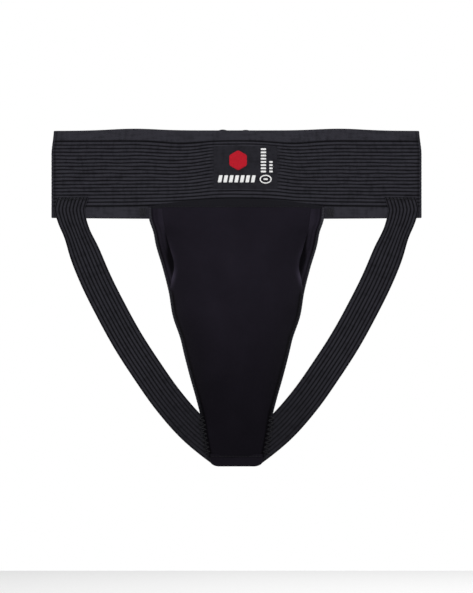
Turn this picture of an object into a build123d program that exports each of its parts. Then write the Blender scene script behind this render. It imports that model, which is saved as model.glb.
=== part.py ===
from build123d import *
import math
import os

# Athletic groin protector: a ribbed elastic waistband, a knitted pouch that holds a removable
# moulded cup, and two elastic leg straps from the toe of the pouch up to the sides of the band.
# Millimetres. +Z is up, -Y is the front, the origin is the middle of the waist opening at the
# level of the waistband's lower edge.

os.makedirs("parts", exist_ok=True)

# ---- waistband ----
BAND_WIDTH = 320.0
BAND_HEIGHT = 76.4
BAND_THICKNESS = 1.6
BAND_FRONT_Y = -32.0
BAND_FOLD_Y = -18.0
BAND_BACK_Y = 38.0
FOLD_RADIUS = 3.0
FOLD_OVERSHOOT = 4.4
LAP_HALF_WIDTH = 16.0
LAP_THICKNESS = 1.4

# ---- what is sewn on the front of the band ----
SEWN_GAP = 0.1
PATCH_THICKNESS = 0.6
PATCH_LEFT = -19.5
PATCH_RIGHT = 35.0
PATCH_BOTTOM = 24.9
PATCH_TOP = 61.7
THREAD_THICKNESS = 0.5
EMBLEM_X = 1.4
EMBLEM_Z = 49.5
EMBLEM_RADIUS = 8.6
BAR_HEIGHT = 3.4
TAPE_HALF_WIDTH = 75.7
TAPE_BOTTOM = 0.8
TAPE_TOP_MIDDLE = 16.7
TAPE_TOP_SIDE = 9.9
TAPE_THICKNESS = 1.3
TACK_INNER = 77.4
TACK_OUTER = 84.3
STITCH_LENGTH = 3.2
STITCH_WIDTH = 0.9
ANCHOR_INNER = 128.5
ANCHOR_OUTER = 156.0
ANCHOR_TOP = 17.8
ANCHOR_THICKNESS = 1.5

# ---- pouch: level z, half width, y of the side seam, y of the front ----
POUCH_LEVELS = (
    (-3.0, 74.2, -27.6, -34.2),
    (-20.0, 70.1, -15.0, -36.4),
    (-40.0, 64.6, 1.5, -39.0),
    (-60.0, 59.3, -0.1, -42.0),
    (-90.0, 53.0, -5.4, -45.6),
    (-120.0, 44.8, -10.9, -46.0),
    (-150.0, 36.6, -17.6, -40.8),
    (-167.0, 31.6, -22.4, -36.6),
    (-186.0, 28.4, -24.2, -32.4),
    (-204.6, 25.0, -25.4, -29.4),
)
# level z, half width of the front panel above the foot of its free side edge
FREE_EDGE_LEVELS = ((-3.0, 62.6), (-20.0, 60.4), (-40.0, 56.7))
FREE_EDGE_FOOT = -60.0
PANEL_THICKNESS = 1.4
LINING_THICKNESS = 1.2
LINING_DEPTH = 6.0
LINING_GAP = 0.5
LINING_TOP = -48.5
LINING_BOTTOM = -172.0
MOUTH_HEIGHT = 8.0
MOUTH_THICKNESS = 2.0
BINDING_WIDTH = 2.4
BINDING_GAP = 0.6
BINDING_DEPTH = 2.6
TOE_TOP = -204.9
TOE_BOTTOM = -214.3
TOE_HALF_WIDTH = 23.0
TOE_DEPTH = 3.6
TOE_Y = -27.6

# ---- leg straps: centre line of the left one from top to toe, as x and z ----
STRAP_WIDTH = 26.0
STRAP_THICKNESS = 1.6
STRAP_Y = -20.4
STRAP_TOP = -9.0
STRAP_ROUTE = (
    (-142.6, 1.0),
    (-132.3, -27.4),
    (-121.5, -53.4),
    (-108.6, -79.3),
    (-94.3, -105.3),
    (-77.4, -131.2),
    (-58.4, -157.2),
    (-37.0, -180.5),
    (-14.0, -198.0),
)

# ---- cup: level z, half width, depth of the dome ----
CUP_TILT = 10.0
CUP_RIM_Y = 7.5
CUP_WALL = 2.6
CUP_LEVELS = (
    (-14.0, 20.0, 9.0),
    (-24.0, 36.0, 22.0),
    (-40.0, 45.5, 31.0),
    (-60.0, 48.6, 35.5),
    (-80.0, 46.4, 36.0),
    (-100.0, 41.9, 34.0),
    (-120.0, 36.2, 29.5),
    (-140.0, 29.2, 22.5),
    (-155.0, 21.5, 14.5),
    (-163.0, 14.0, 8.0),
)
SHELL_SKIRT = 0.8
GASKET_OUTSIDE = 3.0
GASKET_INSIDE = 2.4
GASKET_THICKNESS = 2.2
GASKET_CROWN = 4.0
VENT_LENGTH = 12.0
VENT_WIDTH = 4.0
VENT_COLUMNS = 3
VENT_PITCH_X = 18.0
VENT_PITCH_Z = 19.0


def bow_radius(half_chord, depth):
    """Radius of the arc that spans a chord and rises by depth."""
    return (half_chord**2 + depth**2) / (2 * depth)


# the arcs of the front and the back meet past the rounded folds
BAND_TIP = BAND_WIDTH / 2 + FOLD_OVERSHOOT
FRONT_RADIUS = bow_radius(BAND_TIP, BAND_FOLD_Y - BAND_FRONT_Y)
BACK_RADIUS = bow_radius(BAND_TIP, BAND_BACK_Y - BAND_FOLD_Y)


def front_y(x, lift):
    """Y of the band's front face at x, lifted outwards by lift."""
    return BAND_FRONT_Y + FRONT_RADIUS - math.sqrt((FRONT_RADIUS + lift) ** 2 - x**2)


def back_y(x, lift):
    """Y of the band's back face at x, lifted outwards by lift."""
    return BAND_BACK_Y - BACK_RADIUS + math.sqrt((BACK_RADIUS + lift) ** 2 - x**2)


def between(levels, z, column):
    """Value of a column at level z, straight between the stated levels."""
    for upper, lower in zip(levels, levels[1:]):
        if lower[0] <= z <= upper[0]:
            share = (upper[0] - z) / (upper[0] - lower[0])
            return upper[column] + share * (lower[column] - upper[column])
    return levels[-1][column]


def bow_y(x, half_width, edge_y, middle_y):
    """Y at x of the arc from one edge through the middle to the other edge."""
    radius = bow_radius(half_width, abs(edge_y - middle_y))
    rise = radius - math.sqrt(radius**2 - x**2)
    return middle_y + math.copysign(rise, edge_y - middle_y)


def rim_y(z):
    """Y of the cup's rim plane at level z."""
    return CUP_RIM_Y + math.tan(math.radians(CUP_TILT)) * z


def strip(face_y, x_low, x_high, inner, outer):
    """Outline of a strip that follows a face of the band between two lifts."""
    x_middle = (x_low + x_high) / 2
    ThreePointArc(*((x, face_y(x, inner)) for x in (x_low, x_middle, x_high)))
    Line((x_high, face_y(x_high, inner)), (x_high, face_y(x_high, outer)))
    ThreePointArc(*((x, face_y(x, outer)) for x in (x_high, x_middle, x_low)))
    Line((x_low, face_y(x_low, outer)), (x_low, face_y(x_low, inner)))


def sewn_strip(x_low, x_high, z_low, z_high, gap, thickness, face_y=front_y):
    """Block between two levels that lies on a face of the band."""
    with BuildPart(mode=Mode.PRIVATE) as block:
        with BuildSketch(Plane.XY.offset(z_low)):
            with BuildLine():
                strip(face_y, x_low, x_high, gap, gap + thickness)
            make_face()
        extrude(amount=z_high - z_low)
    return block.part


def crescent(half_width, edge_y, middle_y, thickness):
    """Outline between two nested arcs that share the line of their ends."""
    side = math.copysign(thickness, edge_y - middle_y)
    inner = half_width - thickness
    ThreePointArc((-half_width, edge_y), (0, middle_y), (half_width, edge_y))
    Line((half_width, edge_y), (inner, edge_y))
    ThreePointArc((inner, edge_y), (0, middle_y + side), (-inner, edge_y))
    Line((-inner, edge_y), (-half_width, edge_y))


def finish(builder, label):
    """Names a finished piece and writes its file."""
    builder.part.label = label
    export_step(builder.part, f"parts/{label}.step")


# ================= waistband =================

with BuildPart() as waistband:
    with BuildSketch() as loop:
        with BuildLine():
            ThreePointArc((-BAND_TIP, BAND_FOLD_Y), (0, BAND_FRONT_Y), (BAND_TIP, BAND_FOLD_Y))
            ThreePointArc((BAND_TIP, BAND_FOLD_Y), (0, BAND_BACK_Y), (-BAND_TIP, BAND_FOLD_Y))
        make_face()
        fillet(loop.vertices(), FOLD_RADIUS)
        offset(loop.sketch_local.face(), amount=-BAND_THICKNESS, mode=Mode.SUBTRACT)
    extrude(amount=BAND_HEIGHT)
    # the overlapped end at the centre back
    with BuildSketch():
        with BuildLine():
            strip(back_y, -LAP_HALF_WIDTH, LAP_HALF_WIDTH, -BAND_THICKNESS / 2, LAP_THICKNESS)
        make_face()
    extrude(amount=BAND_HEIGHT)
finish(waistband, "waistband_elastic")

# two columns of stitches that close the lap
JOIN_STITCHES = 14
with BuildPart() as join_stitching:
    pitch = BAND_HEIGHT / JOIN_STITCHES
    for column_x in (-LAP_HALF_WIDTH + 4, LAP_HALF_WIDTH - 4):
        for n in range(JOIN_STITCHES):
            z = pitch * (n + 0.5) - STITCH_LENGTH / 2
            add(
                sewn_strip(
                    column_x - STITCH_WIDTH,
                    column_x + STITCH_WIDTH,
                    z,
                    z + STITCH_LENGTH,
                    LAP_THICKNESS + SEWN_GAP / 2,
                    THREAD_THICKNESS,
                    back_y,
                )
            )
finish(join_stitching, "waistband_join_stitching")

# ================= label =================

with BuildPart() as label_patch:
    add(sewn_strip(PATCH_LEFT, PATCH_RIGHT, PATCH_BOTTOM, PATCH_TOP, SEWN_GAP, PATCH_THICKNESS))
finish(label_patch, "label_patch")

THREAD_GAP = 2 * SEWN_GAP + PATCH_THICKNESS

with BuildPart() as label_emblem:
    add(
        sewn_strip(
            EMBLEM_X - EMBLEM_RADIUS,
            EMBLEM_X + EMBLEM_RADIUS,
            EMBLEM_Z - EMBLEM_RADIUS,
            EMBLEM_Z + EMBLEM_RADIUS,
            THREAD_GAP,
            THREAD_THICKNESS,
        )
    )
    with BuildSketch(Plane.XZ):
        with Locations((EMBLEM_X, EMBLEM_Z)):
            RegularPolygon(EMBLEM_RADIUS, 6)
    extrude(amount=2 * BAND_WIDTH, both=True, mode=Mode.INTERSECT)
finish(label_emblem, "label_emblem")

# plain woven bars in place of any lettering: x range and z range of each
LABEL_BARS = (
    (-15.4, 4.6, 32.4, 32.4 + BAR_HEIGHT),
    (7.4, 16.4, 32.4, 32.4 + BAR_HEIGHT),
    (21.0, 21.0 + BAR_HEIGHT, 41.0, 59.0),
    (26.6, 26.6 + BAR_HEIGHT, 41.0, 50.0),
    (20.8, 30.2, 31.4, 31.4 + 1.5 * BAR_HEIGHT),
)
with BuildPart() as label_bars:
    for x_low, x_high, z_low, z_high in LABEL_BARS:
        add(sewn_strip(x_low, x_high, z_low, z_high, THREAD_GAP, THREAD_THICKNESS))
finish(label_bars, "label_bars")

# ================= seam of the pouch on the band =================

with BuildPart() as seam_tape:
    add(
        sewn_strip(
            -TAPE_HALF_WIDTH,
            TAPE_HALF_WIDTH,
            TAPE_BOTTOM,
            TAPE_TOP_MIDDLE,
            SEWN_GAP,
            TAPE_THICKNESS,
        )
    )
    with BuildSketch(Plane.XZ):
        with BuildLine():
            ThreePointArc(
                (-TAPE_HALF_WIDTH, TAPE_TOP_SIDE),
                (0, TAPE_TOP_MIDDLE),
                (TAPE_HALF_WIDTH, TAPE_TOP_SIDE),
            )
            Polyline(
                (TAPE_HALF_WIDTH, TAPE_TOP_SIDE),
                (TAPE_HALF_WIDTH, TAPE_BOTTOM),
                (-TAPE_HALF_WIDTH, TAPE_BOTTOM),
                (-TAPE_HALF_WIDTH, TAPE_TOP_SIDE),
            )
        make_face()
    extrude(amount=2 * BAND_WIDTH, both=True, mode=Mode.INTERSECT)
finish(seam_tape, "pouch_seam_tape")

SEAM_STITCHES = 30
SEAM_STITCH_Z = 6.2
with BuildPart() as seam_stitching:
    pitch = 2 * TAPE_HALF_WIDTH / SEAM_STITCHES
    for n in range(SEAM_STITCHES):
        x = -TAPE_HALF_WIDTH + pitch * (n + 0.5)
        add(
            sewn_strip(
                x - STITCH_LENGTH / 2,
                x + STITCH_LENGTH / 2,
                SEAM_STITCH_Z,
                SEAM_STITCH_Z + STITCH_WIDTH,
                TAPE_THICKNESS + 2 * SEWN_GAP,
                THREAD_THICKNESS,
            )
        )
finish(seam_stitching, "pouch_seam_stitching")

for side, name in ((-1, "left"), (1, "right")):
    with BuildPart() as tack:
        for n in range(4):
            x = side * (TACK_INNER + (TACK_OUTER - TACK_INNER) * (n + 0.5) / 4)
            add(
                sewn_strip(
                    x - STITCH_WIDTH / 2,
                    x + STITCH_WIDTH / 2,
                    1.0,
                    9.0,
                    SEWN_GAP,
                    THREAD_THICKNESS,
                )
            )
    finish(tack, f"seam_bar_tack_{name}")

    # folded top end of the strap, sewn flat on the band
    with BuildPart() as anchor:
        x_low, x_high = sorted((side * ANCHOR_INNER, side * ANCHOR_OUTER))
        add(sewn_strip(x_low, x_high, 0.5, ANCHOR_TOP, SEWN_GAP, ANCHOR_THICKNESS))
    finish(anchor, f"strap_anchor_{name}")

    ANCHOR_STITCHES = 6
    with BuildPart() as anchor_stitching:
        pitch = (ANCHOR_OUTER - ANCHOR_INNER) / ANCHOR_STITCHES
        for row_z in (ANCHOR_TOP - 2.6, 2.2):
            for n in range(ANCHOR_STITCHES):
                x = side * (ANCHOR_INNER + pitch * (n + 0.5))
                add(
                    sewn_strip(
                        x - STITCH_LENGTH / 2,
                        x + STITCH_LENGTH / 2,
                        row_z,
                        row_z + STITCH_WIDTH,
                        ANCHOR_THICKNESS + 2 * SEWN_GAP,
                        THREAD_THICKNESS,
                    )
                )
    finish(anchor_stitching, f"strap_anchor_stitching_{name}")

# ================= pouch =================


def panel_outline(level):
    """Half width and y of the front panel's side edges at one of the pouch's levels."""
    z, half_width, edge_y, middle_y = level
    if z <= FREE_EDGE_FOOT:
        return half_width - BINDING_WIDTH - BINDING_GAP, edge_y
    free_edge = between(FREE_EDGE_LEVELS, z, 1)
    return free_edge, bow_y(free_edge, half_width, edge_y, middle_y)


with BuildPart() as front_panel:
    for level in POUCH_LEVELS:
        half_width, edge_y = panel_outline(level)
        with BuildSketch(Plane.XY.offset(level[0])):
            with BuildLine():
                crescent(half_width, edge_y, level[3], PANEL_THICKNESS)
            make_face()
    loft(ruled=True)
finish(front_panel, "pouch_front_panel")

# side panels behind the free edges, and the bindings along the pouch's outline
GUSSET_OVERLAP = 4.0
GUSSET_STEP_BACK = 4.0
for side, name in ((-1, "left"), (1, "right")):
    with BuildPart() as gusset:
        for level in POUCH_LEVELS[:3]:
            z, half_width, edge_y, middle_y = level
            free_edge, free_y = panel_outline(level)
            inner = free_edge - GUSSET_OVERLAP
            outer = half_width - BINDING_WIDTH - BINDING_GAP
            inner_y = bow_y(inner, half_width, edge_y, middle_y) + GUSSET_STEP_BACK
            outer_y = edge_y
            with BuildSketch(Plane.XY.offset(z)):
                with BuildLine():
                    Polyline(
                        (side * inner, inner_y),
                        (side * outer, outer_y),
                        (side * outer, outer_y + PANEL_THICKNESS),
                        (side * inner, inner_y + PANEL_THICKNESS),
                        close=True,
                    )
                make_face()
        loft(ruled=True)
    finish(gusset, f"pouch_side_panel_{name}")

    with BuildPart() as binding:
        for z, half_width, edge_y, middle_y in POUCH_LEVELS:
            with BuildSketch(Plane.XY.offset(z)):
                with Locations((side * (half_width - BINDING_WIDTH / 2), edge_y)):
                    Rectangle(BINDING_WIDTH, BINDING_DEPTH)
        loft(ruled=True)
    finish(binding, f"edge_binding_{name}")


def lining_section(z, thickness, step_back):
    """Half width, y of the ends and y of the middle of the pocket lining at a level."""
    half_width = between(POUCH_LEVELS, z, 1) - BINDING_WIDTH - BINDING_GAP
    edge_y = between(POUCH_LEVELS, z, 2) + BINDING_DEPTH / 2 + step_back
    crescent(half_width, edge_y, edge_y + LINING_DEPTH + thickness, thickness)


with BuildPart() as lining:
    lining_levels = [LINING_TOP]
    lining_levels += [z for z, *rest in POUCH_LEVELS if LINING_BOTTOM < z < LINING_TOP]
    lining_levels += [LINING_BOTTOM]
    for z in lining_levels:
        with BuildSketch(Plane.XY.offset(z)):
            with BuildLine():
                lining_section(z, LINING_THICKNESS, LINING_GAP)
            make_face()
    loft(ruled=True)
finish(lining, "pocket_lining")

with BuildPart() as mouth:
    for z in (LINING_TOP + SEWN_GAP, LINING_TOP + MOUTH_HEIGHT):
        with BuildSketch(Plane.XY.offset(z)):
            with BuildLine():
                lining_section(z, MOUTH_THICKNESS, LINING_GAP)
            make_face()
    loft()
finish(mouth, "pocket_mouth_elastic")

with BuildPart() as toe_hem:
    with BuildSketch(Plane.XZ.offset(-TOE_Y - TOE_DEPTH / 2)):
        with BuildLine():
            Polyline(
                (-TOE_HALF_WIDTH, TOE_TOP),
                (TOE_HALF_WIDTH, TOE_TOP),
                (TOE_HALF_WIDTH - 1.5, TOE_BOTTOM + 3.0),
                (TOE_HALF_WIDTH - 6.5, TOE_BOTTOM),
                (-TOE_HALF_WIDTH + 6.5, TOE_BOTTOM),
                (-TOE_HALF_WIDTH + 1.5, TOE_BOTTOM + 3.0),
                close=True,
            )
        make_face()
    extrude(amount=TOE_DEPTH)
finish(toe_hem, "pouch_toe_hem")

# ================= leg straps =================

STRAP_LOWER_END = -9.0
for side, name in ((-1, "left"), (1, "right")):
    with BuildPart() as strap:
        with BuildSketch(Plane.XZ.offset(-STRAP_Y)):
            with BuildLine() as route:
                Spline(*((-side * x, z) for x, z in STRAP_ROUTE))
            trace(route.line, STRAP_WIDTH)
            # the strap starts just under the band and ends behind the toe of the pouch
            with BuildLine():
                Polyline(
                    (side * STRAP_LOWER_END * -1, STRAP_TOP),
                    (side * BAND_WIDTH / 2, STRAP_TOP),
                    (side * BAND_WIDTH / 2, TOE_BOTTOM + 1.0),
                    (side * STRAP_LOWER_END * -1, TOE_BOTTOM + 1.0),
                    close=True,
                )
            make_face(mode=Mode.INTERSECT)
        extrude(amount=-STRAP_THICKNESS)
    finish(strap, f"leg_strap_{name}")

    # zigzag that holds the strap to the edge of the toe
    ZIGZAG_STITCHES = 9
    with BuildPart() as zigzag:
        for n in range(ZIGZAG_STITCHES):
            z = -174.0 - n * 3.3
            x = side * (between(POUCH_LEVELS, z, 1) + 1.6)
            with BuildSketch(Plane.XZ.offset(-STRAP_Y + SEWN_GAP)):
                with Locations(Location((x, z), side * (30 if n % 2 else -30))):
                    Rectangle(STITCH_LENGTH, STITCH_WIDTH)
            extrude(amount=THREAD_THICKNESS)
    finish(zigzag, f"strap_zigzag_{name}")

# ================= cup =================

TILTED_RIM = Plane(
    origin=(0, CUP_RIM_Y, 0),
    x_dir=(1, 0, 0),
    z_dir=(0, -math.cos(math.radians(CUP_TILT)), math.sin(math.radians(CUP_TILT))),
)


def dome(shrink, past_rim):
    """Closed loft through the cup's levels, with its wall moved inwards by shrink."""
    levels = CUP_LEVELS[1:-1] if shrink else CUP_LEVELS
    with BuildPart(mode=Mode.PRIVATE) as body:
        for z, half_width, depth in levels:
            inner = half_width - shrink
            with BuildSketch(Plane.XY.offset(z)):
                with BuildLine():
                    back = rim_y(z) + past_rim
                    ThreePointArc(
                        (-inner, rim_y(z)), (0, rim_y(z) - depth + shrink), (inner, rim_y(z))
                    )
                    Polyline(
                        (inner, rim_y(z)), (inner, back), (-inner, back), (-inner, rim_y(z))
                    )
                make_face()
        loft()
    return body.part


with BuildPart() as cup_shell:
    add(dome(0, SHELL_SKIRT))
    add(dome(CUP_WALL, 6.0), mode=Mode.SUBTRACT)
    for row in range(4):
        columns = VENT_COLUMNS if row < 2 else VENT_COLUMNS - 1
        with BuildSketch(Plane.XZ):
            with Locations((0, -58.0 - row * VENT_PITCH_Z)):
                with GridLocations(VENT_PITCH_X, 1, columns, 1):
                    SlotOverall(VENT_LENGTH, VENT_WIDTH, rotation=90)
        extrude(amount=BAND_WIDTH / 2, both=True, mode=Mode.SUBTRACT)
finish(cup_shell, "cup_shell")

# the gasket lies behind the rim, in the rim's own tilted plane


def rim_outline(grow):
    """Closed outline of the rim, moved outwards by grow."""
    slope = math.cos(math.radians(CUP_TILT))
    points = [(half_width + grow, z / slope) for z, half_width, depth in CUP_LEVELS]
    top = points[0]
    foot = points[-1]
    Spline(*points)
    Spline(*((-x, v) for x, v in points))
    ThreePointArc(top, (0, top[1] + GASKET_CROWN + grow), (-top[0], top[1]))
    ThreePointArc(foot, (0, foot[1] - GASKET_CROWN - grow), (-foot[0], foot[1]))


with BuildPart() as gasket:
    with BuildSketch(TILTED_RIM.offset(-SHELL_SKIRT - SEWN_GAP)):
        for grow, mode in ((GASKET_OUTSIDE, Mode.ADD), (-GASKET_INSIDE, Mode.SUBTRACT)):
            with BuildLine():
                rim_outline(grow)
            make_face(mode=mode)
    extrude(amount=-GASKET_THICKNESS)
finish(gasket, "cup_rim_gasket")
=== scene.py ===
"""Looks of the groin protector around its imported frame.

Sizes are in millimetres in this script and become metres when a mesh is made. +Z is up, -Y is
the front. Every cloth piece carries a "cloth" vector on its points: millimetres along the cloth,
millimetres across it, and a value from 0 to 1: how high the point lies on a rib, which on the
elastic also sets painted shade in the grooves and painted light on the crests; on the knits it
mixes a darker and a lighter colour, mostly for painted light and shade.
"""

import math

import bpy
import numpy as np
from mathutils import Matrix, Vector


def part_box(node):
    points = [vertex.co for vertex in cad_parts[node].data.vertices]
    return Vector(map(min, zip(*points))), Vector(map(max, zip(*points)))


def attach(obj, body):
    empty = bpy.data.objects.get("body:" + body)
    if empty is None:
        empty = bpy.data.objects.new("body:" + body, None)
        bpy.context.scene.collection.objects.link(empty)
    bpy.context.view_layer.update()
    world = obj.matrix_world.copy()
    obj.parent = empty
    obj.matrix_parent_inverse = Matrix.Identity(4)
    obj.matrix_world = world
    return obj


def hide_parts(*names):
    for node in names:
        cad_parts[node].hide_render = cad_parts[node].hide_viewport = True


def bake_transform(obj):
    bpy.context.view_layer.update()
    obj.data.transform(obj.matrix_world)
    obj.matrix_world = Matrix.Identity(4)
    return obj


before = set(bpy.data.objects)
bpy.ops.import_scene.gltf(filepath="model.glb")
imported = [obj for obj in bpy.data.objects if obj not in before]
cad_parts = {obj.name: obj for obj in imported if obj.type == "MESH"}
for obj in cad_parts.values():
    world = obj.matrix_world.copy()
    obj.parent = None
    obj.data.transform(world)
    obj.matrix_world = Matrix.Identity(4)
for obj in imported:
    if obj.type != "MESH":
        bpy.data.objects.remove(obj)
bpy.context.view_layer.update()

MM = 0.001
SIDES = ((-1, "left"), (1, "right"))


def box_mm(node):
    """Lowest and highest corner of a CAD node in millimetres."""
    low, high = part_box(node)
    return np.array(low) / MM, np.array(high) / MM


# ---- driving sizes, read from the frame ----
BAND_LOW, BAND_HIGH = box_mm("waistband_elastic")
BAND_HALF = BAND_HIGH[0]
BAND_HEIGHT = BAND_HIGH[2]
BAND_FRONT_Y = BAND_LOW[1]
TAPE_HIGH = box_mm("pouch_seam_tape")[1]
PATCH_LOW, PATCH_HIGH = box_mm("label_patch")
ANCHOR_LOW, ANCHOR_HIGH = box_mm("strap_anchor_right")
TOE_LOW, TOE_HIGH = box_mm("pouch_toe_hem")
LINING_HIGH = box_mm("pocket_lining")[1]
MOUTH_LOW, MOUTH_HIGH = box_mm("pocket_mouth_elastic")

# ---- the band's plan: two arcs that meet past the rounded side folds ----
BAND_THICKNESS = 1.6
LAP_HALF_WIDTH = 16.0
LAP_THICKNESS = 1.4
BAND_BACK_Y = BAND_HIGH[1] - LAP_THICKNESS
FOLD_Y = BAND_FRONT_Y + 14.0
FOLD_RADIUS = 3.0
BAND_TIP = BAND_HALF + 4.4

# ---- ribbed elastic ----
BAND_RIBS = 18
BAND_RIB_HEIGHT = 0.5
HEM = 10.4
HEM_SHADE = 0.94
STRAP_RIBS = 8
STRAP_RIB_HEIGHT = 0.5
STRAP_WIDTH = 26.0

# ---- pouch outline: level z and half width ----
OUTLINE = (
    (9.9, 75.7), (-1.5, 74.8), (-12.0, 71.4), (-22.0, 69.6), (-43.0, 63.6), (-64.0, 58.4),
    (-84.5, 54.9), (-105.0, 48.0), (-116.0, 45.4), (-136.0, 40.2), (-157.0, 34.2), (-170.0, 30.9),
    (-186.0, 28.4), (-206.0, 24.8),
)
# level z, y of the side seam, y of the front
POUCH_DEPTH = (
    (-3.0, -27.6, -34.2), (-12.0, -22.0, -35.4), (-22.0, -14.0, -36.7), (-34.0, -6.0, -38.3),
    (-46.0, -1.5, -40.0), (-60.0, -0.6, -42.0), (-90.0, -5.4, -45.6), (-120.0, -10.9, -46.0),
    (-150.0, -17.6, -40.8), (-167.0, -22.4, -36.6), (-186.0, -24.2, -32.4), (-206.0, -25.4, -29.4),
)
# level z, half width of the front panel where its side edge is free
FREE_EDGE = (
    (12.4, 64.6), (-5.0, 62.6), (-17.0, 60.2), (-28.0, 57.2),
    (-37.0, 54.6), (-44.0, 54.3), (-52.0, 56.0), (-60.0, 57.6),
)
FREE_EDGE_END = -60.0
# lower ends of the front panel, its bindings and the lining, which the toe and straps cover
PANEL_FOOT = -206.5
BINDING_FOOT = -206.0
LINING_FOOT = -201.0
# line where the strip above meets the front panel, and how far each runs on past it
MEETING_Z = 9.8
BINDING_TOP = MEETING_Z - 0.4
PANEL_TOP = MEETING_Z + 2.6
STRIP_LOW = MEETING_Z - 4.0
SIDE_TOP = MEETING_Z + 0.8
SIDE_BOTTOM = -62.0
PANEL_THICKNESS = 1.2
LINING_BULGE = 6.0
SEAM_TO_LINING = 1.8


# ================= mesh helpers =================


def smooth_step(value, start, end):
    """0 before start, 1 after end and a soft turn between them."""
    t = np.clip((value - start) / (end - start), 0, 1)
    return t * t * (3 - 2 * t)


def smooth_line(keys, values, at):
    """Values at these places on a smooth line through those given at the keys."""
    slopes = np.gradient(values, keys, axis=0)
    n = np.clip(np.searchsorted(keys, at) - 1, 0, len(keys) - 2)
    span = keys[n + 1] - keys[n]
    t = (at - keys[n]) / span
    if values.ndim > 1:
        span, t = span[:, None], t[:, None]
    start = (1 + 2 * t) * (1 - t) ** 2 * values[n] + t * (1 - t) ** 2 * span * slopes[n]
    end = t**2 * (3 - 2 * t) * values[n + 1] + t**2 * (t - 1) * span * slopes[n + 1]
    return start + end


def through(levels, z, column):
    """Value of a column at heights z on a smooth line through the stated levels."""
    rows = np.array(sorted(levels), float)
    heights = rows[:, 0]
    return smooth_line(heights, rows[:, column], np.clip(z, heights[0], heights[-1]))


def ripple(a, b, size, seed):
    """Soft unevenness, mostly from -1 to 1, with waves about size long."""
    draw = np.random.default_rng(seed)
    total = 0.0
    for _ in range(6):
        turn, phase = draw.uniform(0, 2 * np.pi, 2)
        pace = draw.uniform(0.6, 1.4) * 2 * np.pi / size
        total = total + np.sin(pace * (a * np.cos(turn) + b * np.sin(turn)) + phase)
    return total / 3


def swell(value, middle, width):
    """1 where the value is at the middle, and falling softly to 0 on both sides."""
    return np.exp(-(((value - middle) / width) ** 2))


def unit(vectors):
    return vectors / np.linalg.norm(vectors, axis=-1, keepdims=True)


def points_at(x, y, z):
    """Points from their three coordinates, each of which may be one number for many."""
    return np.stack(np.broadcast_arrays(x, y, z), axis=-1)


def round_edge(distance, radius):
    """Share of the full thickness at a distance from a rounded edge."""
    t = np.clip(distance / radius, 0, 1)
    return np.sqrt(1 - (1 - t) ** 2)


def edge_steps(length, step, radius=0.8):
    """Positions from 0 to length, close together at both ends."""
    ends = radius * np.array([0, 0.08, 0.3, 0.65, 1.0])
    middle = np.linspace(radius, length - radius, max(2, int(length / step)))[1:-1]
    return np.concatenate([ends, middle, length - ends[::-1]])


def side_steps(ends, reach, count):
    """Places from -1 to 1: even up to reach, and closer together at both ends."""
    return np.concatenate([-np.array(ends), np.linspace(-reach, reach, count), ends[::-1]])


def new_object(name, points, faces, material, cloth=None):
    """A smooth-shaded mesh object from points in millimetres."""
    mesh = bpy.data.meshes.new(name)
    mesh.from_pydata((np.asarray(points) * MM).tolist(), [], faces)
    mesh.shade_smooth()
    if cloth is not None:
        layer = mesh.attributes.new("cloth", "FLOAT_VECTOR", "POINT")
        layer.data.foreach_set("vector", np.asarray(cloth, np.float32).ravel())
    mesh.materials.append(material)
    obj = bpy.data.objects.new(name, mesh)
    bpy.context.scene.collection.objects.link(obj)
    return obj


def enclosed(points, faces):
    """Signed volume inside quads, which is negative when they face inwards."""
    a, b, c, d = (points[faces[:, n]] for n in range(4))
    fans = np.einsum("ij,ij->i", a, np.cross(b, c)) + np.einsum("ij,ij->i", a, np.cross(c, d))
    return fans.sum()


def shell(name, outer, inner, material, cloth, closed=False):
    """Closed thin shell between two grids of points that share their border."""
    columns, rows, _ = outer.shape
    border = np.zeros((columns, rows), bool)
    border[:, [0, -1]] = True
    if not closed:
        border[[0, -1], :] = True
    front = np.arange(columns * rows).reshape(columns, rows)
    back = front.copy()
    back[~border] = columns * rows + np.arange((~border).sum())
    points = np.concatenate([outer.reshape(-1, 3), inner[~border]])
    marks = np.concatenate([cloth.reshape(-1, 3), cloth[~border]])
    quads = []
    for grid, turn in ((front, 1), (back, -1)):
        following = np.roll(grid, -1, axis=0) if closed else grid[1:]
        here = grid if closed else grid[:-1]
        corners = (here[:, :-1], following[:, :-1], following[:, 1:], here[:, 1:])
        quads.append(np.stack(corners, axis=-1).reshape(-1, 4)[:, ::turn])
    faces = np.concatenate(quads)
    if enclosed(points, faces) < 0:
        faces = faces[:, ::-1]
    return new_object(name, points, faces.tolist(), material, marks)


def normals_of(grid, closed=False):
    """Unit normals of a grid of points, on its -Y side where it faces the front."""
    along = np.gradient(grid, axis=0)
    if closed:
        along = np.roll(grid, -1, axis=0) - np.roll(grid, 1, axis=0)
    across = np.gradient(grid, axis=1)
    return unit(np.cross(along, across))


def front_normals(grid):
    """Unit normals of a grid of points, all turned to the front."""
    out = normals_of(grid)
    return out * -np.sign(out[..., 1:2])


def straight(grid, y):
    """The same direction at every point of a grid: y is -1 for the front and 1 for the back."""
    out = np.zeros_like(grid)
    out[..., 1] = y
    return out


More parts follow.
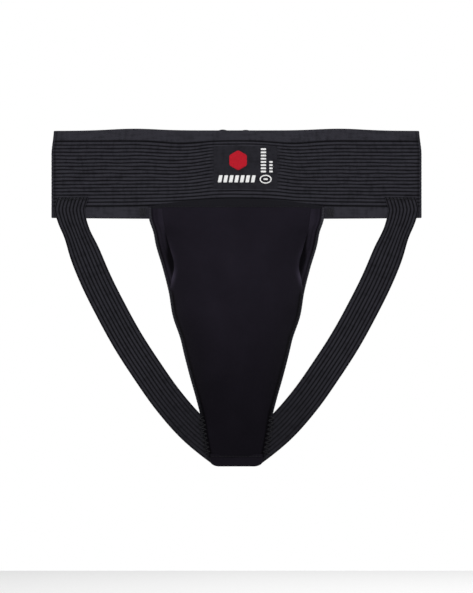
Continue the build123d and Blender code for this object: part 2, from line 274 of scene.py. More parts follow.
def padded_grid(name, grid, lift, drop, material, along, across, height, out):
    """Thin cloth about a grid: lift along out, drop against it, and rounded borders."""
    edge = max(0.4, (np.max(lift) + np.max(drop)) / 2)
    along = np.broadcast_to(along, grid.shape[:2])
    across = np.broadcast_to(across, grid.shape[:2])
    from_ends = np.minimum(along - along.min(axis=0), along.max(axis=0) - along)
    from_sides = np.minimum(across - across.min(axis=1, keepdims=True),
                            across.max(axis=1, keepdims=True) - across)
    share = round_edge(np.minimum(from_ends, from_sides), edge)
    share[[0, -1], :] = 0
    share[:, [0, -1]] = 0
    share = share[..., None]
    lift = np.broadcast_to(lift, grid.shape[:2])[..., None]
    drop = np.broadcast_to(drop, grid.shape[:2])[..., None]
    cloth = points_at(along, across, height)
    middle = (lift - drop) / 2
    outer = grid + out * (middle + share * (lift + drop) / 2)
    inner = grid + out * (middle - share * (lift + drop) / 2)
    return shell(name, outer, inner, material, cloth)


def full_turn(count):
    """Even angles once round."""
    return np.linspace(0, 2 * np.pi, count, endpoint=False)


def ring_faces(count, corners, closed=False):
    """Quads between the neighbours of count rings of points."""
    faces = []
    for n in range(count if closed else count - 1):
        low, high = n * corners, (n + 1) % count * corners
        for k in range(corners):
            after = (k + 1) % corners
            faces.append([low + k, low + after, high + after, high + k])
    return faces


def thread(name, runs, radius, material, bow, out=(0.0, -1.0, 0.0)):
    """Sewing thread: a short run from each start to its end, bowed outwards, in one mesh."""
    starts, ends = np.swapaxes(np.array(runs, float), 0, 1)
    run = ends - starts
    length = np.linalg.norm(run, axis=1, keepdims=True)
    along = run / length
    side = unit(np.cross(along, out))
    up = np.cross(side, along)
    places = np.array([0.0, 0.1, 0.3, 0.5, 0.7, 0.9, 1.0])
    widths = np.array([0.45, 0.85, 1.0, 1.0, 1.0, 0.85, 0.45]) * radius
    corners = 8
    turns = full_turn(corners)
    rings = []
    for place, width in zip(places, widths):
        centre = starts + run * place + up * bow * math.sin(math.pi * place)
        for turn in turns:
            rings.append(centre + width * (np.cos(turn) * side + np.sin(turn) * up))
    points = np.stack(rings, axis=1)
    ring = np.arange(corners)
    faces = ring_faces(len(places), corners)
    faces += [ring[::-1].tolist(), (ring + (len(places) - 1) * corners).tolist()]
    each = points.shape[1]
    whole = [[v + n * each for v in face] for n in range(len(points)) for face in faces]
    marks = np.zeros((len(points) * each, 3))
    marks[:, 0] = np.repeat(places, corners)[None].repeat(len(points), 0).ravel()
    marks[:, 0] *= np.repeat(length.ravel(), each)
    marks[:, 1] = np.arange(len(marks)) % corners
    return new_object(name, points.reshape(-1, 3), whole, material, marks)


def tube(name, path, side, half_width, half_depth, material, closed=False):
    """Rounded strip along a path: side is the direction of its width at each point."""
    path, side = np.asarray(path, float), np.asarray(side, float)
    along = np.gradient(path, axis=0)
    if closed:
        along = np.roll(path, -1, axis=0) - np.roll(path, 1, axis=0)
    along = unit(along)
    side = unit(side - along * np.sum(side * along, axis=1, keepdims=True))
    depth = np.cross(side, along)
    corners = 12
    turns = full_turn(corners)
    half_width = np.broadcast_to(half_width, len(path))[:, None, None]
    half_depth = np.broadcast_to(half_depth, len(path))[:, None, None]
    across = np.sign(np.cos(turns)) * np.abs(np.cos(turns)) ** 0.7
    rise = np.sign(np.sin(turns)) * np.abs(np.sin(turns)) ** 0.7
    points = (
        path[:, None]
        + half_width * across[None, :, None] * side[:, None]
        + half_depth * rise[None, :, None] * depth[:, None]
    )
    count = len(path)
    ring = np.arange(corners)
    faces = ring_faces(count, corners, closed)
    flat = points.reshape(-1, 3)
    if enclosed(flat, np.array(faces)) < 0:
        faces = [face[::-1] for face in faces]
        ring = ring[::-1]
    if not closed:
        faces.append(ring[::-1].tolist())
        faces.append((ring + (count - 1) * corners).tolist())
    steps = np.linalg.norm(np.diff(path, axis=0), axis=1)
    travelled = np.concatenate([[0], np.cumsum(steps)])
    marks = np.zeros((count, corners, 3))
    marks[..., 0] = travelled[:, None]
    marks[..., 1] = np.abs(np.cos(turns)) * half_width.max()
    marks[..., 2] = np.abs(np.sin(turns))
    return new_object(name, flat, faces, material, marks.reshape(-1, 3))


def place(obj, body, slot, *nodes):
    """Rides a finished piece on a body and hides the CAD nodes it stands for."""
    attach(obj, body)
    if nodes:
        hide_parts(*nodes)
    return obj


# points in metres at the band's front, over which the cloth passes from the band to the pouch
BEND_START = (0, BAND_FRONT_Y * MM, 0.001)
BEND_END = (0, BAND_FRONT_Y * MM, -0.014)


def place_across(obj, slot, *nodes, start=BEND_START, end=BEND_END):
    """For cloth that starts on the band and ends on the pouch: bakes its transform into its mesh and
    hides the CAD nodes it stands for.
    """
    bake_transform(obj)
    if nodes:
        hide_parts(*nodes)
    return obj


# ================= materials =================


class Nodes:
    """Short forms for the shader nodes of one material."""

    def __init__(self, name, roughness, **fixed):
        self.material = bpy.data.materials.new(name)
        self.material.use_nodes = True
        self.tree = self.material.node_tree
        self.shader = self.tree.nodes["Principled BSDF"]
        self.shader.inputs["Roughness"].default_value = roughness
        for socket, value in fixed.items():
            self.shader.inputs[socket.replace("_", " ")].default_value = value

    def link(self, value, socket):
        if isinstance(value, bpy.types.NodeSocket):
            self.tree.links.new(value, socket)
        else:
            socket.default_value = value

    def node(self, kind, *values, **named):
        """A new shader node with values or links for its inputs, in their order or by name."""
        node = self.tree.nodes.new("ShaderNode" + kind)
        for value, socket in zip(values, node.inputs):
            self.link(value, socket)
        for name, value in named.items():
            self.link(value, node.inputs[name])
        return node

    def math(self, kind, first, second=0.0):
        node = self.node("Math", first, second)
        node.operation = kind
        return node.outputs[0]

    def product(self, first, *others):
        for other in others:
            first = self.math("MULTIPLY", first, other)
        return first

    def total(self, first, second):
        return self.math("ADD", first, second)

    def share_of(self, value, step):
        return self.math("DIVIDE", value, step)

    def hill(self, value):
        """A rounded hill from 0 over 1 to 0 on each whole step of a value."""
        return self.math("SINE", self.product(self.math("FRACT", value), math.pi))

    def cloth(self):
        """Millimetres along, millimetres across and height on the rib, the value that mixes in painted
        light and shade.
        """
        node = self.node("Attribute")
        node.attribute_name = "cloth"
        vector = node.outputs["Vector"]
        return vector, *self.node("SeparateXYZ", vector).outputs

    def object_place(self):
        """Place on the object in metres."""
        return self.node("TexCoord").outputs["Object"]

    def stretched(self, place, along, across):
        """Place scaled by different amounts along and across the cloth."""
        node = self.node("VectorMath", place, (along, across, 0.0))
        node.operation = "MULTIPLY"
        return node.outputs[0]

    def noise(self, place, scale, detail=2.0, roughness=0.5):
        node = self.node("TexNoise", Vector=place, Scale=scale, Detail=detail, Roughness=roughness)
        return node.outputs["Fac"]

    def spread(self, value, low, high, from_low=0.0, from_high=1.0):
        """Value moved from one range to another."""
        return self.node("MapRange", value, from_low, from_high, low, high).outputs[0]

    def mixed(self, share, first, second):
        node = self.node("Mix")
        node.data_type = "RGBA"
        self.link(share, node.inputs["Factor"])
        sockets = [s for s in node.inputs if s.type == "RGBA"]
        self.link(first, sockets[0])
        self.link(second, sockets[1])
        return next(s for s in node.outputs if s.type == "RGBA")

    def finish(self, colour, roughness, height, distance, strength=1.0):
        """Joins colour, roughness and bump height, a share of distance in metres."""
        self.link(colour, self.shader.inputs["Base Color"])
        self.link(roughness, self.shader.inputs["Roughness"])
        bump = self.node("Bump", Strength=strength, Distance=distance, Height=height)
        self.link(bump.outputs[0], self.shader.inputs["Normal"])
        return self.material


def grey(level, tint=(0.97, 0.95, 1.2)):
    """A colour from a linear grey level with a faint cool tint."""
    return (*(level * t for t in tint), 1.0)


def weave(n, along, across, pitch_along, pitch_across):
    """Height from 0 to 1 of a plain weave of rounded yarns."""
    rows = n.share_of(across, pitch_across)
    odd = n.math("MODULO", n.math("ABSOLUTE", n.math("FLOOR", rows)), 2.0)
    yarn = n.hill(n.total(n.share_of(along, pitch_along), n.product(odd, 0.5)))
    return n.math("SQRT", n.product(yarn, n.hill(rows)))


def knit(n, along, across, wale, course):
    """Height from 0 to 1 of columns of small V-shaped stitches."""
    u = n.math("FRACT", n.share_of(along, wale))
    arm = n.math("ABSOLUTE", n.math("SUBTRACT", u, 0.5))
    yarn = n.hill(n.total(n.share_of(across, course), n.product(arm, 1.4)))
    return n.math("SQRT", n.product(yarn, n.hill(u)))


def elastic(name, groove_shade, crest, pitch_along=1.0, pitch_across=0.75):
    """Ribbed woven elastic: painted shade between its ribs and painted light on their crests, fine
    weave and a little lint.
    """
    n = Nodes(name, 0.9, Sheen_Weight=0.01, Sheen_Roughness=0.5, Specular_IOR_Level=0.04)
    cloth, along, across, height = n.cloth()
    yarns = weave(n, along, across, pitch_along, pitch_across)
    blotch = n.noise(cloth, 0.035, 3.0)
    lint = n.noise(cloth, 0.9, 4.0, 0.7)
    # short streaks across the cloth where its rubber pulls, long ones along the ribs
    pulls = n.noise(n.stretched(cloth, 0.3, 0.11), 1.0, 2.0, 0.4)
    runs = n.noise(n.stretched(cloth, 0.06, 0.4), 1.0, 2.0, 0.45)
    level = n.product(
        n.spread(blotch, 0.92, 1.08, 0.3, 0.7),
        n.spread(lint, 0.84, 1.18),
        n.spread(yarns, 0.72, 1.12),
        n.spread(pulls, 0.76, 1.24, 0.28, 0.72),
        n.spread(runs, 0.78, 1.22, 0.3, 0.7),
    )
    # painted shade in the grooves and painted light on the crests, mixed by the height on the rib
    dark = n.mixed(level, grey(0.0), n.mixed(n.math("POWER", height, 2.0), groove_shade, crest))
    colour = n.mixed(n.spread(lint, 0.0, 0.05, 0.62, 0.8), dark, grey(0.12))
    relief = n.total(n.product(yarns, 0.7), n.product(lint, 0.3))
    return n.finish(colour, n.spread(lint, 0.78, 0.98), relief, 0.00018)


def knitted(name, low, high, wale=0.8, course=0.62, painted_shade_length=None):
    """Fine smooth knit with soft colour variation. The last argument is the length over which it
    darkens, painted shade lower down the cloth.
    """
    n = Nodes(name, 0.92, Sheen_Weight=0.01, Sheen_Roughness=0.45, Specular_IOR_Level=0.03)
    cloth, along, across, height = n.cloth()
    loops = knit(n, along, across, wale, course)
    cloud = n.noise(cloth, 0.03, 3.0)
    fuzz = n.noise(cloth, 1.3, 4.0, 0.7)
    level = n.product(n.spread(loops, 0.7, 1.15), n.spread(fuzz, 0.82, 1.2))
    if painted_shade_length:
        # painted shade: darker lower down the pouch
        level = n.product(level, n.spread(along, 1.0, 0.475, painted_shade_length * 0.3, painted_shade_length * 0.85))
    shade = n.mixed(n.product(height, n.spread(cloud, 0.88, 1.1, 0.3, 0.7)), low, high)
    dark = n.mixed(level, grey(0.0), shade)
    colour = n.mixed(n.spread(fuzz, 0.0, 0.04, 0.64, 0.82), dark, grey(0.1))
    relief = n.total(n.product(loops, 0.75), n.product(fuzz, 0.25))
    return n.finish(colour, n.spread(fuzz, 0.84, 1.0), relief, 0.00012)


def taped(name, colour):
    """Narrow folded tape with a diagonal twill, darker towards the toe."""
    n = Nodes(name, 0.88, Sheen_Weight=0.01, Specular_IOR_Level=0.04)
    cloth, along, across, _ = n.cloth()
    twill = n.hill(n.total(n.share_of(along, 0.7), n.share_of(across, 0.9)))
    fuzz = n.noise(cloth, 1.1, 3.0, 0.7)
    level = n.product(n.spread(twill, 0.65, 1.15), n.spread(fuzz, 0.8, 1.2),
                      n.spread(along, 1.0, 0.35, 150.0, 185.0))
    return n.finish(n.mixed(level, grey(0.0), colour), n.spread(fuzz, 0.8, 0.96), twill, 0.0001)


def threaded(name, colour, shadow, shine):
    """Twisted sewing thread."""
    n = Nodes(name, 0.55, Sheen_Weight=0.1, Specular_IOR_Level=shine)
    _, along, across, _ = n.cloth()
    ply = n.hill(n.total(n.share_of(along, 0.55), n.share_of(across, 8.0)))
    fuzz = n.noise(n.object_place(), 1400.0, 3.0, 0.6)
    share = n.product(n.spread(ply, 0.45, 1.0), n.spread(fuzz, 0.75, 1.1))
    return n.finish(n.mixed(share, shadow, colour), n.spread(fuzz, 0.45, 0.7), ply, 0.00008)


def satin(name, colour, shadow, shine):
    """Close satin stitches that run side by side."""
    n = Nodes(name, 0.5, Sheen_Weight=shine / 4, Specular_IOR_Level=shine)
    cloth, _, across, _ = n.cloth()
    wander = n.noise(cloth, 0.35, 2.0)
    cord = n.hill(n.total(n.share_of(across, 0.42), n.product(wander, 0.8)))
    fuzz = n.noise(cloth, 1.6, 3.0, 0.6)
    share = n.product(n.spread(cord, 0.35, 1.0), n.spread(fuzz, 0.8, 1.12))
    return n.finish(n.mixed(share, shadow, colour), n.spread(fuzz, 0.42, 0.62), cord, 0.00012)


def moulded(name, colour, worn, grain, roughness):
    """Moulded plastic or rubber with a fine eroded grain and scuffed raised places."""
    n = Nodes(name, roughness, Specular_IOR_Level=0.3)
    where = n.object_place()
    fine = n.noise(where, grain, 4.0, 0.65)
    cloud = n.noise(where, 45.0, 3.0)
    marks = n.spread(n.noise(where, 240.0, 5.0, 0.75), 0.0, 0.5, 0.6, 0.78)
    darker = (*(c * 0.8 for c in colour[:3]), 1.0)
    tone = n.mixed(n.spread(cloud, 0.0, 1.0, 0.35, 0.65), colour, darker)
    rough = n.total(n.spread(fine, roughness - 0.08, roughness + 0.1), n.product(marks, 0.25))
    return n.finish(n.mixed(marks, tone, worn), rough, fine, 0.0001, 0.6)


BAND_CLOTH = elastic("waistband_elastic_cloth", grey(0.0026), grey(0.0310))
STRAP_CLOTH = elastic("strap_elastic_cloth", grey(0.0022), grey(0.0250))
LABEL_CLOTH = elastic("label_ground_cloth", grey(0.0070), grey(0.0250), 0.7, 0.5)
PURPLE = (1.04, 0.88, 1.36)
KNIT = knitted("pouch_knit_cloth", grey(0.0010, PURPLE), grey(0.0560, PURPLE), painted_shade_length=216.0)
STRIP_KNIT = knitted("top_strip_knit_cloth", grey(0.0088), grey(0.0112))
SIDE_KNIT = knitted("side_panel_knit_cloth", grey(0.0012, PURPLE), grey(0.0250, PURPLE))
LINING_KNIT = knitted("lining_knit_cloth", grey(0.006), grey(0.020), 1.1, 0.9)
TAPE = taped("folded_tape_cloth", grey(0.022))
BLACK_THREAD = threaded("black_thread_twist", grey(0.017), grey(0.004), 0.06)
SEAM_THREAD = threaded("seam_thread_twist", grey(0.0085), grey(0.003), 0.03)
GREY_THREAD = threaded("dark_grey_thread_twist", grey(0.045), grey(0.009), 0.08)
WHITE_THREAD = satin("white_thread_satin", (0.9, 0.9, 0.89, 1), (0.5, 0.5, 0.51, 1), 0.3)
RED_THREAD = satin("red_thread_satin", (0.5, 0.011, 0.024, 1), (0.2, 0.003, 0.008, 1), 0.06)
CUP_PLASTIC = moulded("cup_polypropylene", (0.03, 0.03, 0.033, 1), (0.07, 0.07, 0.073, 1),
                      1800.0, 0.5)
CUP_RUBBER = moulded("gasket_rubber", (0.016, 0.016, 0.017, 1), (0.035, 0.035, 0.035, 1), 2600.0, 0.8)


# ================= the band's shape =================


def bow_radius(half_chord, depth):
    """Radius of the arc that spans a chord and rises by depth."""
    return (half_chord**2 + depth**2) / (2 * depth)


FRONT_RADIUS = bow_radius(BAND_TIP, FOLD_Y - BAND_FRONT_Y)
BACK_RADIUS = bow_radius(BAND_TIP, BAND_BACK_Y - FOLD_Y)
FRONT_CENTRE = BAND_FRONT_Y + FRONT_RADIUS
BACK_CENTRE = BAND_BACK_Y - BACK_RADIUS


def front_y(x, lift=0.0):
    """Y of the band's front face at x, lifted outwards."""
    return FRONT_CENTRE - np.sqrt((FRONT_RADIUS + lift) ** 2 - x**2)


def back_y(x, lift=0.0):
    """Y of the band's back face at x, lifted outwards."""
    return BACK_CENTRE + np.sqrt((BACK_RADIUS + lift) ** 2 - x**2)


def band_plan():
    """Points and outward directions round the band's outer face, closer together at the folds."""
    inner_front = FRONT_RADIUS - FOLD_RADIUS
    inner_back = BACK_RADIUS - FOLD_RADIUS
    fold_y = (inner_back**2 - inner_front**2 + FRONT_CENTRE**2 - BACK_CENTRE**2) / (
        2 * (FRONT_CENTRE - BACK_CENTRE)
    )
    fold_x = math.sqrt(inner_front**2 - (fold_y - FRONT_CENTRE) ** 2)
    front_turn = math.atan2(fold_x, FRONT_CENTRE - fold_y)
    back_turn = math.atan2(fold_x, fold_y - BACK_CENTRE)
    half_turn = math.pi
    arcs = (
        (-front_turn, front_turn, 151, 0.0, FRONT_CENTRE, FRONT_RADIUS),
        (front_turn, half_turn - back_turn, 16, fold_x, fold_y, FOLD_RADIUS),
        (half_turn - back_turn, half_turn + back_turn, 131, 0.0, BACK_CENTRE, BACK_RADIUS),
        (half_turn + back_turn, 2 * half_turn - front_turn, 16, -fold_x, fold_y, FOLD_RADIUS),
    )
    points, outward = [], []
    for start, end, count, x, y, radius in arcs:
        turn = np.linspace(start, end, count)
        if radius == FOLD_RADIUS:
            turn = turn[1:-1]
        direction = np.stack([np.sin(turn), -np.cos(turn)], axis=1)
        outward.append(direction)
        points.append(np.array((x, y)) + radius * direction)
    return np.concatenate(points), np.concatenate(outward)


def rib_rows(ribs, per_rib, hem_steps):
    """Row places across ribbed elastic: -1 to 0 is the first hem, then the ribs, then a hem."""
    hem = np.linspace(0, 1, hem_steps + 1)[1:-1]
    edge = np.array([0, 0.008, 0.03, 0.07, 0.12])
    first = np.concatenate([edge, hem[hem > 0.15]]) - 1
    middle = np.linspace(0, ribs, ribs * per_rib + 1)
    last = ribs - first[::-1]
    return np.concatenate([first, middle, last])


def rib_height(q, ribs):
    """Height from 0 to 1 over the ribs, and HEM_SHADE on the plain hems."""
    crest = np.sqrt(np.abs(np.sin(np.pi * q)))
    return np.where((q >= 0) & (q <= ribs), crest, HEM_SHADE)


def band_levels(x, facing_front, q):
    """Height z of the rows q of the band's cloth at x."""
    low = np.zeros_like(x)
    first = HEM + 3.4 * swell(x, 0, 55) * facing_front
    last = BAND_HEIGHT - HEM - 2.2 * swell(np.abs(x), 48, 22) * facing_front
    high = BAND_HEIGHT - 1.1 + 1.6 * swell(np.abs(x), 90, 28)
    hem = np.clip(q + 1, 0, 1)
    ribs = np.clip(q / BAND_RIBS, 0, 1)
    top = np.clip(q - BAND_RIBS, 0, 1)
    z = low[:, None] + (first - low)[:, None] * hem
    z = z + (last - first)[:, None] * ribs + (high - last)[:, None] * top
    middle = (PATCH_LOW[0] + PATCH_HIGH[0]) / 2
    past_label = np.maximum(0, np.abs(x - middle) - (PATCH_HIGH[0] - PATCH_LOW[0]) / 2)
    lift = 1.6 * swell(past_label, 0, 13) * facing_front
    inside = np.sin(np.pi * ribs) ** 0.7
    z = z + lift[:, None] * inside
    uneven = 0.3 * ripple(x[:, None], z * 2.0, 46, 11) + 0.2 * ripple(x[:, None], z * 4.5, 21, 12)
    return z + uneven * inside


def label_share(x, z):
    """1 over the label's plain woven field, 0 on the ribs, soft at its sides."""
    beside = np.maximum(PATCH_LOW[0] - x, x - PATCH_HIGH[0])
    above = np.maximum(PATCH_LOW[2] - z, z - PATCH_HIGH[2])
    return (1 - smooth_step(beside, -2.0, 5.0)) * (1 - smooth_step(above, -1.0, 0.8))


# distance of the pressed crease from the band's side; the crease is a shallow dent darkened with
# painted shade
CREASE_INSET = 3.2


def band_wave(x, z):
    """Soft unevenness of the band's cloth, which the label follows."""
    return 0.45 * ripple(x, z * 1.2, 90, 5)


def ribbed_band():
    plan, outward = band_plan()
    q = rib_rows(BAND_RIBS, 6, 7)
    x = plan[:, 0]
    facing_front = smooth_step(-outward[:, 1], 0.0, 0.6)
    z = band_levels(x, facing_front, q)
    height = rib_height(q, BAND_RIBS)[None] * np.ones_like(z)
    plain = label_share(x[:, None], z) * facing_front[:, None]
    height = height * (1 - plain) + 0.75 * plain
    from_side = (BAND_HALF - np.abs(x))[:, None]
    # along the crease a shallow dent with painted shade; beside the side fold the ribs lie flat with a
    # painted highlight
    crease_dent_shade = swell(from_side, CREASE_INSET, 0.7) * (outward[:, 1:] < 0)
    flat_fold_highlight = (1 - smooth_step(from_side, 1.3, 2.4)) * np.ones_like(z)
    height = np.maximum(height, 0.82 * flat_fold_highlight) * (1 - 0.85 * crease_dent_shade)
    from_edge = np.minimum(z - z[:, :1], z[:, -1:] - z)
    share = round_edge(from_edge, BAND_THICKNESS / 2)
    share[:, [0, -1]] = 0
    wave = band_wave(x[:, None], z) * smooth_step(np.abs(x), 158, 120)[:, None]
    taper = 1 - 0.0125 * smooth_step(z, 55, 76)
    half = BAND_THICKNESS / 2
    reach = half * share - BAND_RIB_HEIGHT * (1 - height) * share
    grids = []
    for offset in (wave - half + reach, wave - half - reach):
        x_moved = (plan[:, :1] + outward[:, :1] * offset) * taper
        grids.append(points_at(x_moved, plan[:, 1:] + outward[:, 1:] * offset, z))
    steps = np.linalg.norm(np.roll(plan, -1, axis=0) - plan, axis=1)
    travelled = np.concatenate([[0], np.cumsum(steps)[:-1]])
    cloth = points_at(travelled[:, None], z, height)
    band = shell("waistband_ribbed_elastic", *grids, BAND_CLOTH, cloth, closed=True)
    place(band, "waistband", "waistband_elastic", "waistband_elastic")
    return band


def band_lap():
    """The overlapped end of the elastic at the centre back."""
    u = edge_steps(2 * LAP_HALF_WIDTH, 1.6)
    x = u - LAP_HALF_WIDTH
    q = rib_rows(BAND_RIBS, 6, 7)
    z = band_levels(x, np.zeros_like(x), q)
    corner = 1.5 * swell(x, -12, 4.5) + 1.2 * swell(x, 8, 4.5)
    z = z + (1.6 + corner)[:, None] * smooth_step(q, BAND_RIBS - 2, BAND_RIBS + 1)
    height = rib_height(q, BAND_RIBS)[None] * np.ones_like(z)
    grid = points_at(x[:, None], back_y(x, 0.75)[:, None], z)
    lift = 0.7 - BAND_RIB_HEIGHT * (1 - height)
    lap = padded_grid("waistband_lap", grid, lift, 0.6, BAND_CLOTH, u[:, None], z, height,
                      straight(grid, 1))
    place(lap, "waistband", "waistband_elastic")


def lap_stitching():
    """Two columns of zigzag that close the lap."""
    runs = []
    for column in (-1, 1):
        middle = column * (LAP_HALF_WIDTH - 3.5)
        levels = np.arange(3.0, BAND_HEIGHT - 2.0, 2.1)
        for n, (low, high) in enumerate(zip(levels, levels[1:])):
            swing = 1.5 if n % 2 else -1.5
            ends = ((middle - swing, low), (middle + swing, high))
            runs.append([(x, back_y(x, 1.62), z) for x, z in ends])
    rows = thread("waistband_join_stitches", runs, 0.36, BLACK_THREAD, 0.2, out=(0.0, 1.0, 0.0))
    place(rows, "waistband", "black_thread", "waistband_join_stitching")


# ================= the label =================

LABEL_LIFT = 0.12


def label_ground():
    """Plain woven field of the label, level with the ribs."""
    width, _, height = PATCH_HIGH - PATCH_LOW
    u = edge_steps(width, 1.6, 0.5)
    v = edge_steps(height, 1.6, 0.5)
    x, z = np.meshgrid(PATCH_LOW[0] + u, PATCH_LOW[2] + v, indexing="ij")
    grid = points_at(x, front_y(x) - band_wave(x, z), z)
    ground = padded_grid("label_ground", grid, LABEL_LIFT, 0.3, LABEL_CLOTH, u[:, None], v[None],
                         0.8, straight(grid, -1))
    place(ground, "waistband", "label_fabric", "label_patch")


def label_y(x, z, lift):
    """Y of the label's face, lifted outwards."""
    return front_y(x) - band_wave(x, z) - LABEL_LIFT - lift


def rounded_outline(corners, radius, steps=5):
    """Closed outline with each corner rounded."""
    corners = np.asarray(corners, float)
    points = []
    for n, corner in enumerate(corners):
        before = unit(corners[n - 1] - corner)
        after = unit(corners[(n + 1) % len(corners)] - corner)
        for t in np.linspace(0, 1, steps):
            start, end = corner + before * radius, corner + after * radius
            points.append((1 - t) ** 2 * start + 2 * t * (1 - t) * corner + t**2 * end)
    return np.array(points)


def badges(name, outlines, rise, material, along_x=True):
    """Raised stitched shapes on the label: one closed low dome for each outline."""
    points, faces, marks = [], [], []
    shrinks = (1.0, 1.0, 0.97, 0.9, 0.75, 0.5, 0.25)
    lifts = (-0.1, 0.15, 0.55, 0.85, 0.97, 1.0, 1.0)
    for outline in outlines:
        base = sum(map(len, points))
        middle = outline.mean(axis=0)
        count = len(outline)
        for shrink, lift in zip(shrinks, lifts):
            ring = middle + (outline - middle) * shrink
            y = label_y(ring[:, 0], ring[:, 1], max(lift, 0) * rise - 0.1 * (lift < 0))
            points.append(points_at(ring[:, 0], y, ring[:, 1]))
            order = (ring[:, 0], ring[:, 1]) if along_x else (ring[:, 1], ring[:, 0])
            marks.append(points_at(*order, max(lift, 0)))
        for a, b, c, d in ring_faces(len(shrinks), count):
            faces.append([base + a, base + d, base + c, base + b])
        faces.append([base + k for k in range(count)])
        last = base + (len(shrinks) - 1) * count
        faces.append([last + k for k in range(count)][::-1])
    return new_object(name, np.concatenate(points), faces, material, np.concatenate(marks))


def regular(x, z, radius_x, radius_z, sides, turn=0.0):
    """Corners of an even polygon, anticlockwise from the front."""
    angles = turn + full_turn(sides)
    return np.stack([x + radius_x * np.cos(angles), z + radius_z * np.sin(angles)], axis=1)


# places and sizes of the generic marks: x and z of a lower left corner, or of a middle
EMBLEM = (1.4, 49.5)
EMBLEM_RADIUS = 8.8
DASHES = (-16.2, 30.4)
DASH_PITCH = 4.75
TICKS_Z = 39.0
TICK_PITCH = 2.75
TICK_HEIGHT = 1.6
RING = (25.1, 33.2)
RING_RADII = (4.7, 3.3)


def dash(x, z, width, height, slant=0.0):
    """Outline of a short bar whose upper side is moved along by slant."""
    corners = ((x, z), (x + width, z), (x + width + slant, z + height), (x + slant, z + height))
    return rounded_outline(corners, 0.5)


def label_marks():
    """Generic stitched marks: a red hexagon, slanted dashes, short ticks and an oval ring."""
    hexagon = rounded_outline(regular(*EMBLEM, EMBLEM_RADIUS, EMBLEM_RADIUS, 6, np.pi / 2), 1.6)
    emblem = badges("label_red_hexagon", [hexagon], 0.6, RED_THREAD)
    place(emblem, "waistband", "red_thread", "label_emblem")

    shapes = [dash(DASHES[0] + n * DASH_PITCH, DASHES[1], 3.1, 6.2, 1.2) for n in range(7)]
    for count, x, width in ((8, 20.9, 4.6), (4, 28.2, 3.0)):
        shapes += [dash(x, TICKS_Z + n * TICK_PITCH, width, TICK_HEIGHT) for n in range(count)]
    shapes.append(dash(23.3, 32.5, 3.6, 1.5))
    marks = badges("label_white_marks", shapes, 0.42, WHITE_THREAD, along_x=False)
    place(marks, "waistband", "white_thread", "label_bars")

    x, z = regular(*RING, *RING_RADII, 48).T
    path = points_at(x, label_y(x, z, 0.15), z)
    side = points_at(x - RING[0], 0, z - RING[1])
    oval = tube("label_white_ring", path, side, 0.5, 0.3, WHITE_THREAD, closed=True)
    place(oval, "waistband", "white_thread")


# ================= the pouch =================


def outline_half(z):
    return through(OUTLINE, z, 1)


def seam_y(z):
    return through(POUCH_DEPTH, z, 1)


def middle_y(z):
    return through(POUCH_DEPTH, z, 2)


def pouch_y(x, z):
    """Y of the pouch's front face: an arc at each level, which turns flat on the band above."""
    half = outline_half(z)
    depth = np.abs(seam_y(z) - middle_y(z))
    radius = bow_radius(half, depth)
    reach = np.minimum(np.abs(x), half)
    hanging = middle_y(z) + (radius - np.sqrt(radius**2 - reach**2)) * np.sign(seam_y(z) - middle_y(z))
    on_band = front_y(x, 0.3) - 1.15 * smooth_step(PANEL_TOP - z, 0.0, 7.0)
    share = smooth_step(-z, 0.0, 16.0)
    return on_band * (1 - share) + hanging * share


def panel_half(z):
    """Half width of the front panel: its free edge above, and up to the binding below."""
    free = through(FREE_EDGE, z, 1)
    bound = outline_half(z) - 1.6
    return np.where(z > FREE_EDGE_END, np.minimum(free, bound), bound)


def free_lip(x, z):
    """1 on the curl at the lower end of a free edge, less above it and 0 elsewhere."""
    beside = swell(panel_half(z) - np.abs(x), 0.6, 2.6)
    return beside * (swell(z, -52, 8.5) + 0.4 * swell(z, -31, 10))


def panel_relief(x, z):
    """How far the panel stands out: shallow folds, the pull of its sides and the free edge's curl."""
    folds = 0.55 * ripple(x * 1.6, z * 0.45, 52, 21) + 0.18 * ripple(x, z, 17, 22)
    share = smooth_step(-z, 6, 40) * (1 - smooth_step(-z, 185, 206))
    half = outline_half(z)
    pull = 0.5 * swell(np.abs(x) / half, 0.86, 0.08) * smooth_step(-z, 60, 90)
    lip = 2.0 * free_lip(x, z)
    return folds * share - pull * (1 - smooth_step(-z, 160, 190)) + lip


def front_panel():
    z_steps = PANEL_TOP - edge_steps(PANEL_TOP - PANEL_FOOT, 1.9)
    t = side_steps((1, 0.997, 0.99, 0.98, 0.97), 0.95, 83)
    z = z_steps[:, None] * np.ones_like(t)
    x = panel_half(z) * t
    relief = panel_relief(x, z)
    grid = points_at(x, pouch_y(x, z) - relief, z)
    along = (PANEL_TOP - z_steps)[:, None]
    from_edge = panel_half(z) - np.abs(x)
    # painted shade in a line beside the binding below the free edges
    groove_shade = 0.85 * swell(from_edge, 1.5, 1.0) * smooth_step(-z, 58, 66)
    # a little lighter where the folds stand out, painted light
    height = (0.165 + 0.012 * np.clip(relief, -1, 1)) * (1 - groove_shade)
    # painted highlight on the curl at the foot of each free edge
    height = height + 0.55 * np.clip(free_lip(x, z), 0, 1) ** 1.5
    thin = 0.2 + 0.8 * smooth_step(PANEL_TOP - z, 1.0, 8.0)
    panel = padded_grid("pouch_front_panel_knit", grid, 0.2 * thin,
                        (PANEL_THICKNESS - 0.2) * thin, KNIT, along, x, height, front_normals(grid))
    place_across(panel, "pouch_knit", "pouch_front_panel")


